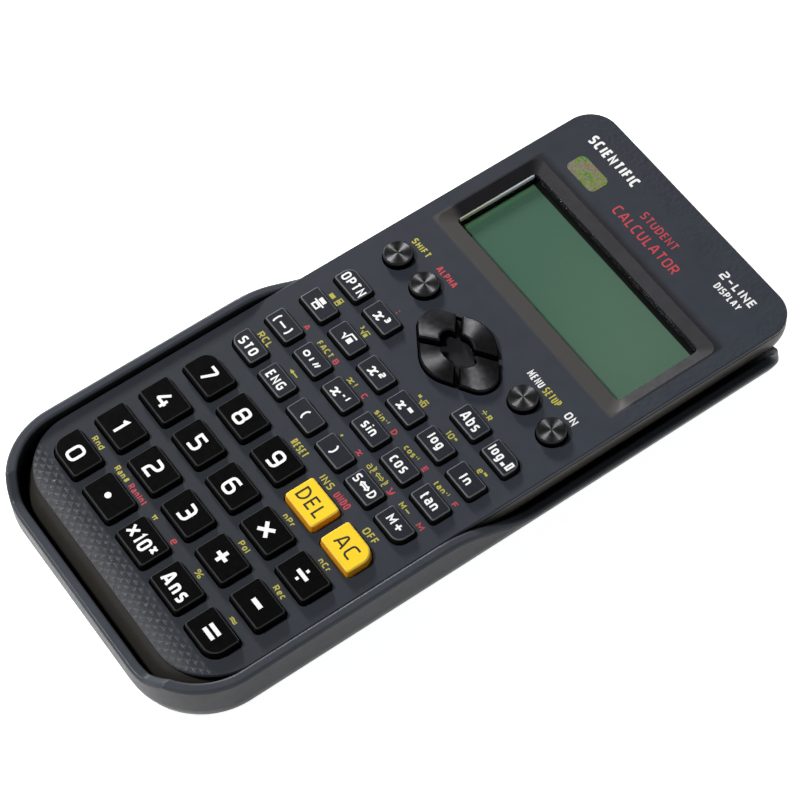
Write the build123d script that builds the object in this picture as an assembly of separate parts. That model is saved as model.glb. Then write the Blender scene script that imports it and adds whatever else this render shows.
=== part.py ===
from build123d import *

import os

# A scientific calculator lying in its slide-on hard cover, which is stored on its back.
# Lengths are in millimetres. X runs to the calculator's right, Y from the keys to the display, Z up.
# Heights are written against the front face, so a height below the face is negative.

# ---- front panel and rear shell ----
FACE_WIDTH = 77.0
FACE_LENGTH = 165.5
FACE_KEY_END_RADIUS = 14.5
FACE_DISPLAY_END_RADIUS = 7.5
BODY_DEPTH = 12.6
PLATE = 1.6
PLATE_OVER_BATTERY = 1.0
PANEL_EDGE = 1.0
PANEL_CHAMFER = 0.3
GROOVE_HEIGHT = 1.0
GROOVE_DEPTH = 1.75
SKIRT_BOTTOM = -3.6
SHELL_WALL = 1.3
SHELL_FLOOR = 1.2

# ---- keys ----
KEY_GAP = 0.3
KEY_DRAFT = 0.35
KEY_CHAMFER = 0.28
KEY_TRAVEL = 1.0
KEY_WALL = 1.1
KEY_POST_DIAMETER = 2.6
KEY_HOLLOW_TOP = -0.6
FLANGE_MARGIN = 0.65
FLANGE_TOP = -1.85
FLANGE_BOTTOM = -2.6

NUMBER_PITCH_X = 13.9
NUMBER_ROWS = (-71.15, -59.35, -47.6, -35.75)
NUMBER_KEY = (11.2, 8.1)
NUMBER_HEIGHT = 1.9
NUMBER_RADII = (1.0, 3.6)

FUNCTION_PITCH_X = 11.58
FUNCTION_ROWS = (-24.1, -14.5, -4.8, 4.8)
FUNCTION_KEY = (9.2, 5.6)
FUNCTION_HEIGHT = 1.6
FUNCTION_RADII = (0.9, 2.6)

ROUND_KEY_DIAMETER = 7.0
ROUND_KEY_HEIGHT = 1.8
ROUND_KEY_CHAMFER = 0.35
ROUND_KEY_Y = 18.0
ROUND_KEY_X = (19.2, 29.9)

PAD_Y = 13.7
PAD_HALF_DIAGONALS = (17.25, 10.84)
PAD_TIP_RADII = (4.6, 8.8)
HUB_HALF_DIAGONALS = (7.4, 3.8)
HUB_TIP_RADII = (1.6, 4.0)
PAD_RECESS = 0.4
BRIDGE_WIDTH = 0.9
BRIDGE_ANGLE = 37.5
CURSOR_REACH = (9.0, 6.0)
CURSOR_CROWN = 2.3
CURSOR_CROWN_RADIUS = 80.0
CURSOR_FLANGE = 0.15
CURSOR_CHAMFER = 0.35

# ---- display ----
BEZEL_OUTER = (-34.1, 31.5, 34.1, 62.0)
BEZEL_INNER = (-31.2, 35.6, 31.2, 59.0)
BEZEL_DEPTH = 1.1
BEZEL_OUTER_RADIUS = 2.2
BEZEL_INNER_RADIUS = 1.4
WINDOW_FRAME = 2.4
WINDOW_FRAME_BOTTOM = -2.2
WINDOW_MARGIN = 1.4
WINDOW_THICKNESS = 0.8
LCD_TOP = -3.4
LCD_THICKNESS = 1.8
LCD_BOX = (-32.6, 33.6, 32.6, 61.2)
LCD_LEDGE = 1.2
RIBBON_THICKNESS = 0.15
RIBBON_HALF_WIDTH = 12.0

# ---- key mat and circuit board ----
MAT_TOP = FLANGE_BOTTOM - KEY_TRAVEL - 0.5
MAT_THICKNESS = 0.8
DOME_TOP = FLANGE_BOTTOM - 0.1
DOME_RADII = (2.3, 1.3)
BOARD_THICKNESS = 1.2
BOARD_HALF_WIDTH = 34.0
BOARD_ENDS = (-75.6, 29.4)
BOARD_RADII = (10.0, 2.0)
CHIP_PLACE = (7.0, 6.0)
CHIP_DIAMETER = 11.0
CAPACITOR_PLACES = ((-8.0, 20.0), (-20.0, 20.0))
CAPACITOR_SIZE = (4.0, 2.2)
WIRE_DIAMETER = 0.9
WIRE_HEIGHT = -7.9
WIRE_BEND = 2.0
WIRE_END_Y = 22.0

# ---- battery and its door ----
BATTERY_DIAMETER = 10.5
BATTERY_LENGTH = 44.5
BATTERY_NUB = (3.8, 1.1)
BATTERY_LEFT = -23.0
BATTERY_Y = 69.0
BATTERY_AXIS = -6.45
CONTACT_THICKNESS = 0.4
CONTACT_HALF_WIDTH = 4.0
SPRING_LENGTH = 2.2
DOOR_BOX = (-26.3, 62.1, 22.8, 75.9)
DOOR_THICKNESS = 0.8
DOOR_TAB = (-7.7, 55.1, 1.3, 62.1)
DOOR_TAB_THICKNESS = 2.0
DOOR_GAP = 0.25
GRIP_COUNT = 5
GRIP_PITCH = 2.4

# ---- screws and supports ----
SCREW_PLACES = [(-20.0, -78.6), (20.0, -78.6), (-27.0, 26.3), (27.0, 26.3), (-29.6, 72.4), (29.6, 72.4)]
DOOR_SCREW_PLACE = (-3.2, 58.4)
SCREW_DIAMETER = 1.6
SCREW_LENGTH = 7.0
SCREW_HEAD = (3.2, 0.95)
SCREW_RECESS = 1.15
BOSS_DIAMETER = 4.2
BOSS_BOTTOM = -9.3
POST_DIAMETER = 5.2
SUPPORT_DIAMETER = 3.0
RIB_WIDTH = 1.0

# ---- slide-on cover ----
COVER_FLOOR = 1.4
COVER_CLEARANCE = 0.4
COVER_RIM_RISE = 1.7
COVER_RIM_RADIUS = 0.8
COVER_LIP_DROP = 6.8
COVER_END_DROP = 1.4
COVER_HALF_WIDTH = 41.6
COVER_INNER_HALF_WIDTH = 38.95
COVER_KEY_END = -89.8
COVER_DISPLAY_END = 82.4
COVER_KEY_RADIUS = 19.0
COVER_DISPLAY_RADIUS = 10.5
COVER_BOTTOM_RADIUS = 7.5
COVER_SWEEP = (-20.5, 7.5)
COVER_LIP_FALL = (71.0, 82.5)
END_NOTCH = (27.0, 32.0)
END_NOTCH_RADIUS = 3.0
RAIL_THICKNESS = 0.4
RAIL_REACH = 0.85
RAIL_SPAN = (-66.0, -24.0)

# Heights of the main levels, against the front face.
BODY_BOTTOM = -BODY_DEPTH
FLOOR_TOP = BODY_BOTTOM + SHELL_FLOOR
COVER_BOTTOM = BODY_BOTTOM - COVER_CLEARANCE - COVER_FLOOR
GROOVE_MIDDLE = -PANEL_EDGE - GROOVE_HEIGHT / 2
SHELL_TOP = -PANEL_EDGE - GROOVE_HEIGHT
MAT_BOTTOM = MAT_TOP - MAT_THICKNESS
BOARD_BOTTOM = MAT_BOTTOM - BOARD_THICKNESS

NUMBER_NAMES = (
    ("key_0", "key_point", "key_exponent", "key_answer", "key_equals"),
    ("key_1", "key_2", "key_3", "key_plus", "key_minus"),
    ("key_4", "key_5", "key_6", "key_times", "key_divide"),
    ("key_7", "key_8", "key_9", "key_delete", "key_all_clear"),
)
FUNCTION_NAMES = (
    ("key_store", "key_engineering", "key_open_bracket",
     "key_close_bracket", "key_standard_decimal", "key_memory_plus"),
    ("key_negative", "key_degrees", "key_reciprocal", "key_sine", "key_cosine", "key_tangent"),
    ("key_fraction", "key_square_root", "key_square", "key_power", "key_log", "key_ln"),
    ("key_options", "key_cube", None, None, "key_absolute", "key_log_base"),
)
# Keys whose outer corner is cut round, with the side of the key that corner is on.
BIG_CORNERS = {
    "key_0": (-1, -1), "key_equals": (1, -1), "key_7": (-1, 1), "key_all_clear": (1, 1),
    "key_store": (-1, -1), "key_memory_plus": (1, -1), "key_options": (-1, 1), "key_log_base": (1, 1),
}


# ---- shared shapes ----
def box(area, low, high):
    """A box over an area (x0, y0, x1, y1) between two heights."""
    x0, y0, x1, y1 = area
    middle = Pos((x0 + x1) / 2, (y0 + y1) / 2, (low + high) / 2)
    return middle * Box(x1 - x0, y1 - y0, high - low)


def rod(x, y, low, high, diameter):
    """An upright cylinder between two heights."""
    return Pos(x, y, (low + high) / 2) * Cylinder(diameter / 2, high - low)


def grown(area, margin):
    """An area made larger by a margin on every side."""
    x0, y0, x1, y1 = area
    return (x0 - margin, y0 - margin, x1 + margin, y1 + margin)


def rounded_area(area, radius, height):
    """A rounded rectangle over an area, lying at a height."""
    x0, y0, x1, y1 = area
    return Pos((x0 + x1) / 2, (y0 + y1) / 2, height) * RectangleRounded(x1 - x0, y1 - y0, radius)


def prism(face, low, high):
    """A flat face at height zero, made into a solid between two heights."""
    return extrude(Pos(0, 0, low) * face, amount=high - low, dir=(0, 0, 1))


def plan(half_width, key_end, display_end, key_radius, display_radius, height=0.0):
    """The outline of a shell, whose two ends have their own corner radii."""
    middle = Pos(0, (key_end + display_end) / 2)
    face = middle * Rectangle(2 * half_width, display_end - key_end)
    rows = face.vertices().group_by(Axis.Y)
    face = fillet(rows[0], key_radius)
    face = fillet(face.vertices().group_by(Axis.Y)[-1], display_radius)
    return Pos(0, 0, height) * face


def rounded_rhombus(half_diagonals, tip_radii):
    """A rhombus with its left and right tips and its top and bottom tips rounded."""
    across, along = half_diagonals
    face = make_face(Polyline((-across, 0), (0, along), (across, 0), (0, -along), close=True))
    columns = face.vertices().group_by(Axis.X)
    face = fillet([columns[0][0], columns[-1][0]], tip_radii[0])
    rows = face.vertices().filter_by_position(Axis.X, -0.01, 0.01)
    return fillet(rows, tip_radii[1])


# ---- keys ----
def key_outline(size, radii, corner=None, margin=0.0):
    """A key's outline, with one corner cut rounder where the key stands at a block's corner."""
    radius, big_radius = radii
    points = Rectangle(size[0] + 2 * margin, size[1] + 2 * margin).vertices()
    if corner is None:
        return fillet(points, radius + margin)
    ordered = sorted(points, key=lambda point: point.X * corner[0] + point.Y * corner[1])
    face = fillet(ordered[-1], big_radius + margin)
    others = {(round(point.X, 3), round(point.Y, 3)) for point in ordered[:3]}
    sharp = [point for point in face.vertices() if (round(point.X, 3), round(point.Y, 3)) in others]
    return fillet(sharp, radius + margin)


def hollow_underside(size):
    """The pocket under a moulded key, round the post that presses the dome."""
    area = grown((-size[0] / 2, -size[1] / 2, size[0] / 2, size[1] / 2), -KEY_WALL)
    return box(area, FLANGE_BOTTOM, KEY_HOLLOW_TOP) - rod(0, 0, FLANGE_BOTTOM, 0, KEY_POST_DIAMETER)


def block_key(size, height, radii, corner):
    """A drafted key cap on a straight shank, with the flange that keeps it in the case."""
    base = key_outline(size, radii, corner)
    top = key_outline(size, radii, corner, -KEY_DRAFT)
    cap = loft([base, Pos(0, 0, height) * top], ruled=True)
    cap = chamfer(cap.faces().sort_by(Axis.Z)[-1].edges(), KEY_CHAMFER)
    shank = prism(base, FLANGE_TOP, 0)
    flange = prism(key_outline(size, radii, corner, FLANGE_MARGIN), FLANGE_BOTTOM, FLANGE_TOP)
    return cap + shank + flange - hollow_underside(size)


def round_key():
    """A round key with a flat spun top and a flange."""
    cap = rod(0, 0, FLANGE_TOP, ROUND_KEY_HEIGHT, ROUND_KEY_DIAMETER)
    cap = chamfer(cap.faces().sort_by(Axis.Z)[-1].edges(), ROUND_KEY_CHAMFER)
    flange = rod(0, 0, FLANGE_BOTTOM, FLANGE_TOP, ROUND_KEY_DIAMETER + 2 * FLANGE_MARGIN)
    return cap + flange


def key_places():
    """Every block key as (name, x, y, size, height, radii)."""
    places = []
    for names, y in zip(NUMBER_NAMES, NUMBER_ROWS):
        for column, name in enumerate(names):
            x = (column - 2) * NUMBER_PITCH_X
            places.append((name, x, y, NUMBER_KEY, NUMBER_HEIGHT, NUMBER_RADII))
    for names, y in zip(FUNCTION_NAMES, FUNCTION_ROWS):
        for column, name in enumerate(names):
            if name:
                x = (column - 2.5) * FUNCTION_PITCH_X
                places.append((name, x, y, FUNCTION_KEY, FUNCTION_HEIGHT, FUNCTION_RADII))
    return places


def round_key_places():
    inner, outer = ROUND_KEY_X
    return {"key_shift": -outer, "key_alpha": -inner, "key_menu": inner, "key_on": outer}


def pad_outline():
    return Pos(0, PAD_Y) * rounded_rhombus(PAD_HALF_DIAGONALS, PAD_TIP_RADII)


def pad_sectors():
    """The four holes of the cursor pad, left between the hub and its four bridges."""
    face = rounded_rhombus(PAD_HALF_DIAGONALS, PAD_TIP_RADII)
    face -= rounded_rhombus(HUB_HALF_DIAGONALS, HUB_TIP_RADII)
    for angle in (BRIDGE_ANGLE, -BRIDGE_ANGLE):
        face -= Rot(0, 0, angle) * Rectangle(60, BRIDGE_WIDTH)
    left = face.faces().sort_by(Axis.X)[0]
    down = face.faces().sort_by(Axis.Y)[0]
    pad = Pos(0, PAD_Y)
    half_turn = Rot(0, 0, 180)
    return {
        "cursor_left": pad * left,
        "cursor_right": pad * half_turn * left,
        "cursor_down": pad * down,
        "cursor_up": pad * half_turn * down,
    }


def cursor_key(sector):
    """One quarter of the cursor pad: a crowned cap that fits its hole, with a flange."""
    outline = offset(sector, -KEY_GAP, kind=Kind.INTERSECTION)
    cap = prism(outline, FLANGE_TOP, CURSOR_CROWN + 1)
    crown = Pos(0, PAD_Y, CURSOR_CROWN - CURSOR_CROWN_RADIUS) * Sphere(CURSOR_CROWN_RADIUS)
    cap = cap & crown
    cap = chamfer(cap.faces().sort_by(Axis.Z)[-1].edges(), CURSOR_CHAMFER)
    flange = prism(offset(sector, CURSOR_FLANGE, kind=Kind.INTERSECTION), FLANGE_BOTTOM, FLANGE_TOP)
    return cap + flange


# ---- casing ----
def face_plan(inset=0.0):
    return plan(FACE_WIDTH / 2 - inset, -FACE_LENGTH / 2 + inset, FACE_LENGTH / 2 - inset,
                FACE_KEY_END_RADIUS - inset, FACE_DISPLAY_END_RADIUS - inset)


def key_holes():
    """Every key's opening in the front plate, as one flat face each."""
    holes = []
    for name, x, y, size, height, radii in key_places():
        holes.append(Pos(x, y) * key_outline(size, radii, BIG_CORNERS.get(name), KEY_GAP))
    for x in round_key_places().values():
        holes.append(Pos(x, ROUND_KEY_Y) * Circle(ROUND_KEY_DIAMETER / 2 + KEY_GAP))
    holes.extend(pad_sectors().values())
    return holes


def bezel_cut():
    """The sloping frame round the display and the straight opening below it."""
    slope = loft([rounded_area(BEZEL_OUTER, BEZEL_OUTER_RADIUS, 0),
                  rounded_area(BEZEL_INNER, BEZEL_INNER_RADIUS, -BEZEL_DEPTH)], ruled=True)
    opening = prism(rounded_area(BEZEL_INNER, BEZEL_INNER_RADIUS, 0), WINDOW_FRAME_BOTTOM - 1, -BEZEL_DEPTH)
    return slope + opening


def front_case():
    """The front panel with its key holes, display bezel, skirt and screw bosses."""
    panel = prism(face_plan(), -PANEL_EDGE, 0)
    panel = chamfer(panel.faces().sort_by(Axis.Z)[-1].edges(), PANEL_CHAMFER)
    panel += prism(face_plan(GROOVE_DEPTH), -PLATE, -PANEL_EDGE)
    # The skirt is the bottom of the groove, and reaches down inside the rear shell.
    skirt = prism(face_plan(GROOVE_DEPTH), SKIRT_BOTTOM, -PLATE)
    panel += skirt - prism(face_plan(GROOVE_DEPTH + 1.0), SKIRT_BOTTOM, -PLATE)
    panel += box(grown(BEZEL_INNER, WINDOW_FRAME), WINDOW_FRAME_BOTTOM, -PLATE)
    panel -= bezel_cut()
    panel -= prism(pad_outline(), -PAD_RECESS, 0.1)
    holes = [prism(hole, -PLATE - 0.1, 0.1) for hole in key_holes()]
    panel -= holes
    # The battery lies close under the plate, which is thinner there.
    panel -= box(grown(DOOR_BOX, -DOOR_GAP), -PLATE, -PLATE_OVER_BATTERY)
    for x, y in SCREW_PLACES:
        panel += rod(x, y, BOSS_BOTTOM, -PLATE, BOSS_DIAMETER)
        panel -= rod(x, y, BOSS_BOTTOM, BODY_BOTTOM + SCREW_LENGTH + 1, SCREW_DIAMETER + 0.1)
    return panel


def shell_sections(inset):
    """The rear shell's outlines from its top edge down to its floor, made smaller by an inset."""
    levels = (
        (38.2, -82.7, 83.0, 14.0, 7.6, SHELL_TOP),
        (38.3, -84.9, 83.3, 14.4, 8.0, -4.2),
        (37.6, -85.9, 82.9, 14.6, 8.2, -7.4),
        (35.9, -84.9, 81.2, 14.2, 8.0, -10.4),
        (32.6, -81.4, 77.9, 13.4, 7.0, BODY_BOTTOM),
    )
    sections = []
    for half_width, key_end, display_end, key_radius, display_radius, height in levels:
        level = height + (inset if height == BODY_BOTTOM else 0)
        sections.append(plan(half_width - inset, key_end + inset, display_end - inset,
                             key_radius - inset, display_radius - inset, level))
    return sections


def compartment_walls():
    """The walls round the battery, and the pad and post that take the door's screw."""
    x0, y0, x1, y1 = DOOR_BOX
    low = FLOOR_TOP - 0.2
    end_wall_top = -4.2
    side_wall_top = -9.0
    walls = box((x0 - RIB_WIDTH, y0, x0, y1), low, end_wall_top)
    walls += box((x1, y0, x1 + RIB_WIDTH, y1), low, end_wall_top)
    walls += box((x0 - RIB_WIDTH, y0 - RIB_WIDTH, x1 + RIB_WIDTH, y0), low, side_wall_top)
    tab = grown(DOOR_TAB, 1.2)
    walls += box((tab[0], tab[1], tab[2], y0), low, BODY_BOTTOM + DOOR_TAB_THICKNESS + 1)
    return walls + rod(*DOOR_SCREW_PLACE, low, BODY_BOTTOM + SCREW_LENGTH + 0.25, POST_DIAMETER)


def board_supports():
    """The long stiffening ribs, the pegs that the board rests on and the screw posts."""
    low = FLOOR_TOP - 0.2
    rib_top = -8.6
    supports = []
    for x in (-14.0, 0.0, 14.0):
        supports.append(box((x - RIB_WIDTH / 2, -68.0, x + RIB_WIDTH / 2, 17.0), low, rib_top))
    for x in (-30.0, 30.0):
        for y in (-62.0, -30.0, 6.0):
            supports.append(rod(x, y, low, BOARD_BOTTOM - 0.05, SUPPORT_DIAMETER))
    for x, y in SCREW_PLACES:
        supports.append(rod(x, y, low, BOSS_BOTTOM - 0.05, POST_DIAMETER))
    return supports[0] + supports[1:]


def screw_hole(x, y, top):
    """The recess for a screw's head and the clear hole for its shank."""
    recess = rod(x, y, BODY_BOTTOM - 1, BODY_BOTTOM + SCREW_RECESS, SCREW_HEAD[0] + 0.4)
    return recess + rod(x, y, BODY_BOTTOM, top, SCREW_DIAMETER + 0.3)


def rear_case():
    """The rear shell with the battery compartment, screw posts and board supports."""
    shell = loft(shell_sections(0)) - loft(shell_sections(SHELL_WALL))
    shell += compartment_walls() + board_supports()
    shell -= box(DOOR_BOX, BODY_BOTTOM - 1, FLOOR_TOP + 0.3)
    x0, y0, x1, y1 = DOOR_TAB
    tab_top = BODY_BOTTOM + DOOR_TAB_THICKNESS
    shell -= box((x0, y0, x1, y1 + 1), BODY_BOTTOM - 1, tab_top)
    shell -= rod(*DOOR_SCREW_PLACE, BODY_BOTTOM, BODY_BOTTOM + SCREW_LENGTH + 0.3, SCREW_DIAMETER + 0.1)
    for x, y in SCREW_PLACES:
        shell -= screw_hole(x, y, BOSS_BOTTOM)
    return shell


def battery_door():
    """The cover over the battery, held by one screw through its tab."""
    door = box(grown(DOOR_BOX, -DOOR_GAP), BODY_BOTTOM, BODY_BOTTOM + DOOR_THICKNESS)
    x0, y0, x1, y1 = grown(DOOR_TAB, -DOOR_GAP)
    door += box((x0, y0, x1, y1 + 2 * DOOR_GAP), BODY_BOTTOM, BODY_BOTTOM + DOOR_TAB_THICKNESS - 0.1)
    for step in range(GRIP_COUNT):
        x = DOOR_BOX[0] + 4.5 + GRIP_PITCH * step
        door -= box((x, y1 + 2, x + 1.0, DOOR_BOX[3] - 2), BODY_BOTTOM - 0.1, BODY_BOTTOM + 0.3)
    return door - screw_hole(*DOOR_SCREW_PLACE, BODY_BOTTOM + DOOR_TAB_THICKNESS)


# ---- slide-on cover ----
def rounded_tray(half_width, key_end, display_end, key_radius, display_radius, low, high, bottom_radius):
    """An upright form whose bottom edge is rounded all the way round."""
    form = prism(plan(half_width, key_end, display_end, key_radius, display_radius), low, high)
    return fillet(form.faces().sort_by(Axis.Z)[0].edges(), bottom_radius)


def cover_tray():
    """The cover before its rim is cut: an outer form less an inner form that is open at the display end."""
    wall = COVER_HALF_WIDTH - COVER_INNER_HALF_WIDTH
    outer = rounded_tray(COVER_HALF_WIDTH, COVER_KEY_END, COVER_DISPLAY_END, COVER_KEY_RADIUS,
                         COVER_DISPLAY_RADIUS, COVER_BOTTOM, COVER_RIM_RISE, COVER_BOTTOM_RADIUS)
    inner = rounded_tray(COVER_INNER_HALF_WIDTH, COVER_KEY_END + wall, COVER_DISPLAY_END + 20,
                         COVER_KEY_RADIUS - wall, COVER_DISPLAY_RADIUS, COVER_BOTTOM + COVER_FLOOR,
                         COVER_RIM_RISE + 1, COVER_BOTTOM_RADIUS - COVER_FLOOR)
    return outer - inner


def rim_profile():
    """The side view of all that is cut away above the rim, as a face in the YZ plane."""
    high = COVER_RIM_RISE
    low = -COVER_LIP_DROP
    end = COVER_BOTTOM + COVER_FLOOR
    top = high + 10
    start = Line((-100, high), (COVER_SWEEP[0], high))
    sweep = Spline([(COVER_SWEEP[0], high), ((COVER_SWEEP[0] + COVER_SWEEP[1]) / 2, (high + low) / 2),
                    (COVER_SWEEP[1], low)], tangents=[(1, 0), (1, 0)])
    lip = Line((COVER_SWEEP[1], low), (COVER_LIP_FALL[0], low))
    fall = Spline([(COVER_LIP_FALL[0], low), (COVER_LIP_FALL[1], end)], tangents=[(1, 0), (1, 0)])
    back = Polyline((COVER_LIP_FALL[1], end), (100, end), (100, top), (-100, top), (-100, high))
    face = make_face(Curve() + [start, sweep, lip, fall, back])
    return Plane.YZ * face


def end_notch():
    """The lower stretch of the end wall between the two rounded corners."""
    high = COVER_RIM_RISE
    low = -COVER_END_DROP
    inner, outer = END_NOTCH
    outline = Polyline((-outer, high + 1), (-outer, high), (-inner, low), (inner, low),
                       (outer, high), (outer, high + 1), close=True)
    face = make_face(outline)
    face = fillet(face.vertices().filter_by_position(Axis.Y, low - 0.1, low + 0.1), END_NOTCH_RADIUS)
    return Pos(0, -70, 0) * extrude(Plane.XZ * face, amount=40)


def slide_cover():
    """The hard cover, with a rail inside each side wall that runs in the calculator's groove."""
    tray = cover_tray()
    cut = extrude(rim_profile(), amount=FACE_WIDTH, both=True)
    cover = tray - cut - end_notch()
    cover = fillet([edge for edge in new_edges(tray, combined=cover)], COVER_RIM_RADIUS)
    reach = COVER_INNER_HALF_WIDTH - RAIL_REACH
    for x in (-reach, reach):
        middle = x + (0.75 if x > 0 else -0.75)
        cover += box((middle - 0.75, RAIL_SPAN[0], middle + 0.75, RAIL_SPAN[1]),
                     GROOVE_MIDDLE - RAIL_THICKNESS / 2, GROOVE_MIDDLE + RAIL_THICKNESS / 2)
    return cover


# ---- display, board and battery ----
def display_window():
    """The clear plate bonded under the display opening."""
    top = WINDOW_FRAME_BOTTOM - 0.05
    area = grown(BEZEL_INNER, WINDOW_MARGIN)
    return prism(rounded_area(area, BEZEL_INNER_RADIUS, 0), top - WINDOW_THICKNESS, top)


def lcd_panel():
    """The liquid crystal cell: two glass plates and the ribbon bonded to the lower one's ledge."""
    x0, y0, x1, y1 = LCD_BOX
    half = LCD_THICKNESS / 2
    front_glass = box((x0, y0 + LCD_LEDGE, x1, y1), LCD_TOP - half, LCD_TOP)
    rear_glass = box(LCD_BOX, LCD_TOP - LCD_THICKNESS, LCD_TOP - half)
    glass_bottom = LCD_TOP - LCD_THICKNESS
    upper = glass_bottom - RIBBON_THICKNESS
    lower = BOARD_BOTTOM - RIBBON_THICKNESS
    edge = BOARD_ENDS[1]
    top_line = [(y0 + 2.4, glass_bottom), (y0 - 1.4, glass_bottom), (edge + 0.6, BOARD_BOTTOM),
                (edge - 2.6, BOARD_BOTTOM)]
    bottom_line = [(edge - 2.6, lower), (edge + 0.5, lower), (y0 - 1.5, upper), (y0 + 2.4, upper)]
    ribbon_side = make_face(Polyline(*top_line, *bottom_line, close=True))
    ribbon = extrude(Plane.YZ * ribbon_side, amount=RIBBON_HALF_WIDTH, both=True)
    return Compound([front_glass.solid(), rear_glass.solid(), ribbon.solid()])


def key_centres():
    """The middle of every key, where the mat has a dome."""
    centres = [(x, y) for name, x, y, size, height, radii in key_places()]
    centres += [(x, ROUND_KEY_Y) for x in round_key_places().values()]
    across, along = CURSOR_REACH
    return centres + [(-across, PAD_Y), (across, PAD_Y), (0, PAD_Y - along), (0, PAD_Y + along)]


def key_mat():
    """The silicone sheet with one dome under each key."""
    outline = plan(BOARD_HALF_WIDTH - 0.5, BOARD_ENDS[0] + 0.4, BOARD_ENDS[1] - 6.0, *BOARD_RADII)
    mat = prism(outline, MAT_BOTTOM, MAT_TOP)
    rise = DOME_TOP - MAT_TOP
    domes = [Pos(x, y, MAT_TOP + rise / 2) * Cone(*DOME_RADII, rise) for x, y in key_centres()]
    return mat + domes


def wire(*points):
    """A lead that lies level under the board, bent with a small radius."""
    places = [(x, y, WIRE_HEIGHT) for x, y in points]
    path = FilletPolyline(*places, radius=WIRE_BEND) if len(places) > 2 else Line(*places)
    start = Plane(origin=path @ 0, z_dir=path % 0)
    return sweep(start * Circle(WIRE_DIAMETER / 2), path=path)


def battery_contacts():
    """The plate at each end of the battery and the spring that presses on its flat end."""
    right_end = BATTERY_LEFT + BATTERY_LENGTH
    low, high = BATTERY_AXIS - 4.0, BATTERY_AXIS + 3.5
    plates = []
    for x in (right_end + 0.1, BATTERY_LEFT - SPRING_LENGTH - CONTACT_THICKNESS - 0.1):
        area = (x, BATTERY_Y - CONTACT_HALF_WIDTH, x + CONTACT_THICKNESS, BATTERY_Y + CONTACT_HALF_WIDTH)
        plates.append(box(area, low, high))
    spring = Cone(3.4, 1.8, SPRING_LENGTH) - Cone(2.7, 1.1, SPRING_LENGTH)
    middle = BATTERY_LEFT - 0.1 - SPRING_LENGTH / 2
    return plates + [Pos(middle, BATTERY_Y, BATTERY_AXIS) * Rot(0, 90, 0) * spring]


def battery_leads():
    """The two leads from the contacts to the board, each with its soldered end."""
    start = BATTERY_Y - CONTACT_HALF_WIDTH
    right = BATTERY_LEFT + BATTERY_LENGTH + 0.1 + CONTACT_THICKNESS / 2
    left = BATTERY_LEFT - SPRING_LENGTH - 0.1 - CONTACT_THICKNESS / 2
    inward = left + 5.0
    turn = DOOR_TAB[1] + 3.0
    leads = [wire((left, start), (left, turn), (inward, turn), (inward, WIRE_END_Y)),
             wire((right, start), (right, WIRE_END_Y))]
    for x in (inward, right):
        leads.append(rod(x, WIRE_END_Y - WIRE_DIAMETER / 2, WIRE_HEIGHT - WIRE_DIAMETER / 2,
                         BOARD_BOTTOM, WIRE_DIAMETER))
    return leads


def main_board():
    """The circuit board with its chip, capacitors, battery contacts and leads."""
    board = prism(plan(BOARD_HALF_WIDTH, *BOARD_ENDS, *BOARD_RADII), BOARD_BOTTOM, MAT_BOTTOM)
    for x, y in SCREW_PLACES:
        board -= rod(x, y, BOARD_BOTTOM, MAT_BOTTOM, BOSS_DIAMETER + 0.6)
    chip = rod(*CHIP_PLACE, BOARD_BOTTOM - 1.3, BOARD_BOTTOM, CHIP_DIAMETER)
    chip = chamfer(chip.faces().sort_by(Axis.Z)[0].edges(), 0.9)
    pieces = [board, chip]
    diameter, height = CAPACITOR_SIZE
    for x, y in CAPACITOR_PLACES:
        pieces.append(rod(x, y, BOARD_BOTTOM - height, BOARD_BOTTOM, diameter))
    pieces += battery_contacts() + battery_leads()
    return Compound([piece.solid() for piece in pieces])


def battery():
    """A single AAA cell with its raised positive end."""
    nub_diameter, nub_length = BATTERY_NUB
    body_length = BATTERY_LENGTH - nub_length
    body = Cylinder(BATTERY_DIAMETER / 2, body_length)
    ends = body.faces().filter_by(GeomType.PLANE).edges()
    body = chamfer(ends, 0.4)
    body += Pos(0, 0, body_length / 2 + nub_length / 2 - 0.05) * Cylinder(nub_diameter / 2, nub_length + 0.1)
    return Pos(BATTERY_LEFT + body_length / 2, BATTERY_Y, BATTERY_AXIS) * Rot(0, 90, 0) * body


def case_screw(x, y):
    """A cross-head screw set into its recess: a flat head and a shank."""
    head_diameter, head_height = SCREW_HEAD
    low = BODY_BOTTOM + SCREW_RECESS - head_height - 0.05
    head = rod(x, y, low, low + head_height, head_diameter)
    head = chamfer(head.faces().sort_by(Axis.Z)[0].edges(), 0.2)
    for angle in (0, 90):
        head -= Pos(x, y, low + 0.15) * Rot(0, 0, angle) * Box(1.9, 0.4, 0.6)
    return head + rod(x, y, low + head_height - 0.1, low + SCREW_LENGTH, SCREW_DIAMETER)


def case_screws():
    places = SCREW_PLACES + [DOOR_SCREW_PLACE]
    return Compound([case_screw(x, y).solid() for x, y in places])


# ---- the whole calculator ----
def all_nodes():
    nodes = {
        "front_case": front_case(),
        "rear_case": rear_case(),
        "battery_door": battery_door(),
        "case_screws": case_screws(),
        "display_window": display_window(),
        "lcd_panel": lcd_panel(),
        "key_mat": key_mat(),
        "main_board": main_board(),
        "battery": battery(),
        "slide_cover": slide_cover(),
    }
    for name, x, y, size, height, radii in key_places():
        nodes[name] = Pos(x, y) * block_key(size, height, radii, BIG_CORNERS.get(name))
    for name, x in round_key_places().items():
        nodes[name] = Pos(x, ROUND_KEY_Y) * round_key()
    for name, sector in pad_sectors().items():
        nodes[name] = cursor_key(sector)
    return nodes


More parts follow.
